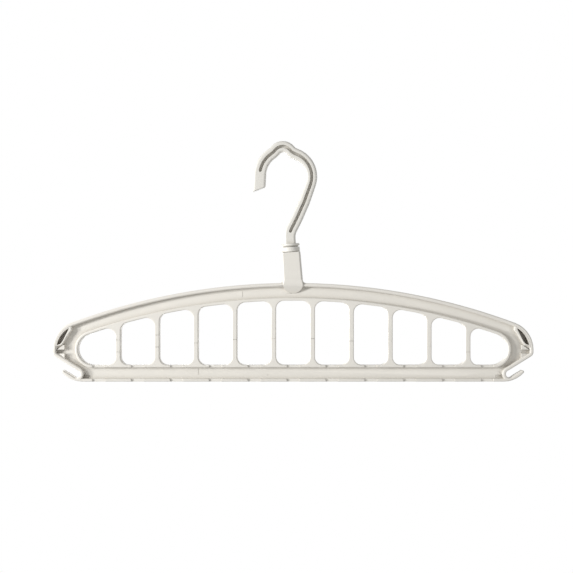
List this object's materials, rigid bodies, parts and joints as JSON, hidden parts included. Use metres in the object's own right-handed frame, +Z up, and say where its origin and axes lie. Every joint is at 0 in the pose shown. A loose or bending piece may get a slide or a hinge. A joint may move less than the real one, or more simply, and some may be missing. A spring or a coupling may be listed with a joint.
{
  "type": "multi-hole clothes hanger",
  "caption": "Arched clothes hanger with a row of large holes, a strap notch and lip at each end, and a grooved hook that swivels on a flat-faced neck.",
  "frame": {"origin": "seat under the bump of the hook's crown, where the hanger rests on a rail, midway between front and back", "axes": "+X along the row of holes to the right as seen from the front, +Y to the back, +Z up from the frame to the hook"},
  "size_m": [0.45, 0.0174, 0.2255],
  "materials": {
    "frame_plastic": "satin warm off-white",
    "hook_plastic": "satin warm off-white"
  },
  "bodies": {
    "hook": {"swivel_hook": "hook_plastic"},
    "hanger": {"hanger_frame": "frame_plastic", "neck_bush": "hook_plastic"}
  },
  "joints": [
    {"name": "neck_swivel", "type": "hinge", "parent": "hook", "child": "hanger", "pos_m": [0.00707, 0, -0.08569], "axis": [-0.0698, 0, 0.9976], "continuous": true}
  ]
}
